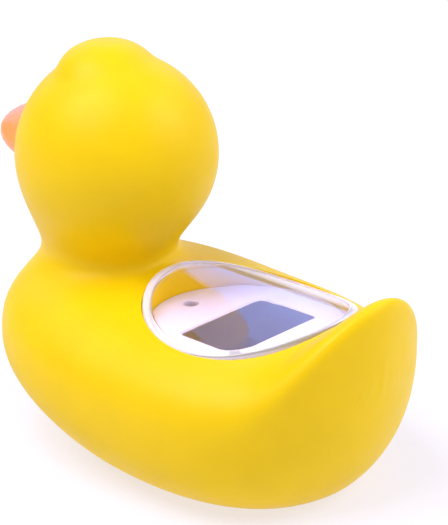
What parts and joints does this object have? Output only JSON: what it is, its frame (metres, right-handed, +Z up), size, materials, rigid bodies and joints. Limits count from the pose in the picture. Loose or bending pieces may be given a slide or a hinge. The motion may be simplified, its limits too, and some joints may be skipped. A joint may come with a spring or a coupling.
{
  "type": "floating baby bath thermometer",
  "caption": "Hollow duck-shaped floating bath thermometer with an oval display window in its back and a screwed battery base.",
  "frame": {"origin": "middle of the object's box in X and Y, on the surface it stands on", "axes": "+Z up, the duck faces -Y, its left side is +X, its tail is +Y"},
  "size_m": [0.0806, 0.1256, 0.1028],
  "materials": {
    "yellow_body": "smooth soft-touch yellow",
    "orange_bill": "glossy orange",
    "black_eye": "glossy black",
    "clear_window": "clear polished plastic",
    "white_plate": "satin white",
    "display_glass": "grey liquid crystal glass",
    "black_rubber": "soft black rubber",
    "clear_silicone": "milky silicone",
    "green_board": "green solder resist",
    "black_epoxy": "cast epoxy",
    "smoked_light": "smoked light lens",
    "steel": "stainless steel",
    "nickel": "nickel plate",
    "red_insulation": "red insulation",
    "black_insulation": "black insulation"
  },
  "bodies": {
    "root": {"duck_body": "yellow_body", "base_plate": "yellow_body", "battery_hatch": "yellow_body", "bill": "orange_bill", "left_eye": "black_eye", "right_eye": "black_eye", "window_lens": "clear_window", "lens_seal": "clear_silicone", "face_plate": "white_plate", "lcd_panel": "display_glass", "front_contact_strip": "black_rubber", "rear_contact_strip": "black_rubber", "alert_light": "smoked_light", "circuit_board": "green_board", "controller_chip": "black_epoxy", "base_seal": "black_rubber", "coin_cell": "nickel", "positive_contact": "nickel", "negative_contact": "nickel", "hatch_screw": "steel", "sensor_cap": "steel", "thermistor": "black_epoxy", "left_water_contact": "steel", "right_water_contact": "steel", "positive_lead": "red_insulation", "negative_lead": "black_insulation", "left_contact_lead": "black_insulation", "right_contact_lead": "black_insulation", "sensor_lead_a": "red_insulation", "sensor_lead_b": "red_insulation", "board_screw_1": "steel", "base_screw_1": "steel", "board_screw_2": "steel", "base_screw_2": "steel", "board_screw_3": "steel", "base_screw_3": "steel", "board_screw_4": "steel", "base_screw_4": "steel"}
  },
  "joints": []
}
